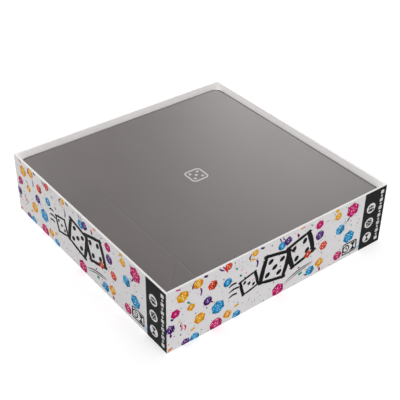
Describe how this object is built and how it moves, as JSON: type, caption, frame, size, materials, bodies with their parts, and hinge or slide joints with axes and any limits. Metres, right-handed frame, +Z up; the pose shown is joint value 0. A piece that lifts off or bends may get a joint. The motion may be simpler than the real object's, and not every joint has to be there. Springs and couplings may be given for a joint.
{
  "type": "board game box",
  "caption": "Open square board game box, white with a colourful dice pattern and black end bands, holding a grey folding dice tray flat near the rim.",
  "frame": {"origin": "centre of the underside", "axes": "+Z up through the open top, -Y out of the front side, +X out of the right side"},
  "size_m": [0.295, 0.295, 0.077],
  "materials": {
    "printed_wrap": "satin",
    "white_liner": "matte",
    "greyboard": "matte",
    "kraft_tape": "matte",
    "bottom_sheet": "satin",
    "insert_card": "matte",
    "tray_fabric": "matte",
    "tray_backing": "matte",
    "emblem_print": "satin",
    "magnet_plating": "polished"
  },
  "bodies": {
    "box": {"front_board": "greyboard", "front_wrap": "printed_wrap", "front_liner": "white_liner", "right_board": "greyboard", "right_wrap": "printed_wrap", "right_liner": "white_liner", "back_board": "greyboard", "back_wrap": "printed_wrap", "back_liner": "white_liner", "left_board": "greyboard", "left_wrap": "printed_wrap", "left_liner": "white_liner", "bottom_board": "greyboard", "floor_liner": "white_liner", "bottom_label": "bottom_sheet", "corner_stays": "kraft_tape"},
    "insert": {"card_insert": "insert_card"},
    "tray_base": {"tray_base_board": "greyboard", "tray_base_top_cover": "tray_fabric", "tray_base_bottom_cover": "tray_backing", "tray_emblem": "emblem_print"},
    "tray_front_wall": {"tray_front_board": "greyboard", "tray_front_top_cover": "tray_fabric", "tray_front_bottom_cover": "tray_backing"},
    "front_left_gusset_on_front": {"front_left_gusset_on_front_top_cover": "tray_fabric", "front_left_gusset_on_front_bottom_cover": "tray_backing", "front_left_magnet_on_front": "magnet_plating"},
    "front_right_gusset_on_front": {"front_right_gusset_on_front_top_cover": "tray_fabric", "front_right_gusset_on_front_bottom_cover": "tray_backing", "front_right_magnet_on_front": "magnet_plating"},
    "tray_right_wall": {"tray_right_board": "greyboard", "tray_right_top_cover": "tray_fabric", "tray_right_bottom_cover": "tray_backing"},
    "front_right_gusset_on_right": {"front_right_gusset_on_right_top_cover": "tray_fabric", "front_right_gusset_on_right_bottom_cover": "tray_backing", "front_right_magnet_on_right": "magnet_plating"},
    "back_right_gusset_on_right": {"back_right_gusset_on_right_top_cover": "tray_fabric", "back_right_gusset_on_right_bottom_cover": "tray_backing", "back_right_magnet_on_right": "magnet_plating"},
    "tray_back_wall": {"tray_back_board": "greyboard", "tray_back_top_cover": "tray_fabric", "tray_back_bottom_cover": "tray_backing"},
    "back_right_gusset_on_back": {"back_right_gusset_on_back_top_cover": "tray_fabric", "back_right_gusset_on_back_bottom_cover": "tray_backing", "back_right_magnet_on_back": "magnet_plating"},
    "back_left_gusset_on_back": {"back_left_gusset_on_back_top_cover": "tray_fabric", "back_left_gusset_on_back_bottom_cover": "tray_backing", "back_left_magnet_on_back": "magnet_plating"},
    "tray_left_wall": {"tray_left_board": "greyboard", "tray_left_top_cover": "tray_fabric", "tray_left_bottom_cover": "tray_backing"},
    "back_left_gusset_on_left": {"back_left_gusset_on_left_top_cover": "tray_fabric", "back_left_gusset_on_left_bottom_cover": "tray_backing", "back_left_magnet_on_left": "magnet_plating"},
    "front_left_gusset_on_left": {"front_left_gusset_on_left_top_cover": "tray_fabric", "front_left_gusset_on_left_bottom_cover": "tray_backing", "front_left_magnet_on_left": "magnet_plating"}
  },
  "joints": [
    {"name": "insert_lift", "type": "slide", "parent": "box", "child": "insert", "axis": [0, 0, 1], "range_m": [0, 0.08]},
    {"name": "tray_lift", "type": "slide", "parent": "insert", "child": "tray_base", "axis": [0, 0, 1], "range_m": [0, 0.1]},
    {"name": "front_wall_fold", "type": "hinge", "parent": "tray_base", "child": "tray_front_wall", "pos_m": [0, -0.104, 0.0686], "axis": [-1, 0, 0], "range_deg": [0, 86]},
    {"name": "front_left_pinch_on_front", "type": "hinge", "parent": "tray_front_wall", "child": "front_left_gusset_on_front", "pos_m": [-0.104, -0.104, 0.0686], "axis": [0, -1, 0], "range_deg": [0, 43]},
    {"name": "front_right_pinch_on_front", "type": "hinge", "parent": "tray_front_wall", "child": "front_right_gusset_on_front", "pos_m": [0.104, -0.104, 0.0686], "axis": [0, 1, 0], "range_deg": [0, 43]},
    {"name": "right_wall_fold", "type": "hinge", "parent": "tray_base", "child": "tray_right_wall", "pos_m": [0.104, 0, 0.0686], "axis": [0, -1, 0], "range_deg": [0, 86]},
    {"name": "front_right_pinch_on_right", "type": "hinge", "parent": "tray_right_wall", "child": "front_right_gusset_on_right", "pos_m": [0.104, -0.104, 0.0686], "axis": [1, 0, 0], "range_deg": [0, 43]},
    {"name": "back_right_pinch_on_right", "type": "hinge", "parent": "tray_right_wall", "child": "back_right_gusset_on_right", "pos_m": [0.104, 0.104, 0.0686], "axis": [-1, 0, 0], "range_deg": [0, 43]},
    {"name": "back_wall_fold", "type": "hinge", "parent": "tray_base", "child": "tray_back_wall", "pos_m": [0, 0.104, 0.0686], "axis": [1, 0, 0], "range_deg": [0, 86]},
    {"name": "back_right_pinch_on_back", "type": "hinge", "parent": "tray_back_wall", "child": "back_right_gusset_on_back", "pos_m": [0.104, 0.104, 0.0686], "axis": [0, 1, 0], "range_deg": [0, 43]},
    {"name": "back_left_pinch_on_back", "type": "hinge", "parent": "tray_back_wall", "child": "back_left_gusset_on_back", "pos_m": [-0.104, 0.104, 0.0686], "axis": [0, -1, 0], "range_deg": [0, 43]},
    {"name": "left_wall_fold", "type": "hinge", "parent": "tray_base", "child": "tray_left_wall", "pos_m": [-0.104, 0, 0.0686], "axis": [0, 1, 0], "range_deg": [0, 86]},
    {"name": "back_left_pinch_on_left", "type": "hinge", "parent": "tray_left_wall", "child": "back_left_gusset_on_left", "pos_m": [-0.104, 0.104, 0.0686], "axis": [-1, 0, 0], "range_deg": [0, 43]},
    {"name": "front_left_pinch_on_left", "type": "hinge", "parent": "tray_left_wall", "child": "front_left_gusset_on_left", "pos_m": [-0.104, -0.104, 0.0686], "axis": [1, 0, 0], "range_deg": [0, 43]}
  ],
  "couplings": [
    {"joint": "front_left_pinch_on_front", "follows": "front_wall_fold", "ratio": 0.5},
    {"joint": "front_right_pinch_on_front", "follows": "front_wall_fold", "ratio": 0.5},
    {"joint": "right_wall_fold", "follows": "front_wall_fold", "ratio": 1},
    {"joint": "front_right_pinch_on_right", "follows": "front_wall_fold", "ratio": 0.5},
    {"joint": "back_right_pinch_on_right", "follows": "front_wall_fold", "ratio": 0.5},
    {"joint": "back_wall_fold", "follows": "front_wall_fold", "ratio": 1},
    {"joint": "back_right_pinch_on_back", "follows": "front_wall_fold", "ratio": 0.5},
    {"joint": "back_left_pinch_on_back", "follows": "front_wall_fold", "ratio": 0.5},
    {"joint": "left_wall_fold", "follows": "front_wall_fold", "ratio": 1},
    {"joint": "back_left_pinch_on_left", "follows": "front_wall_fold", "ratio": 0.5},
    {"joint": "front_left_pinch_on_left", "follows": "front_wall_fold", "ratio": 0.5}
  ]
}
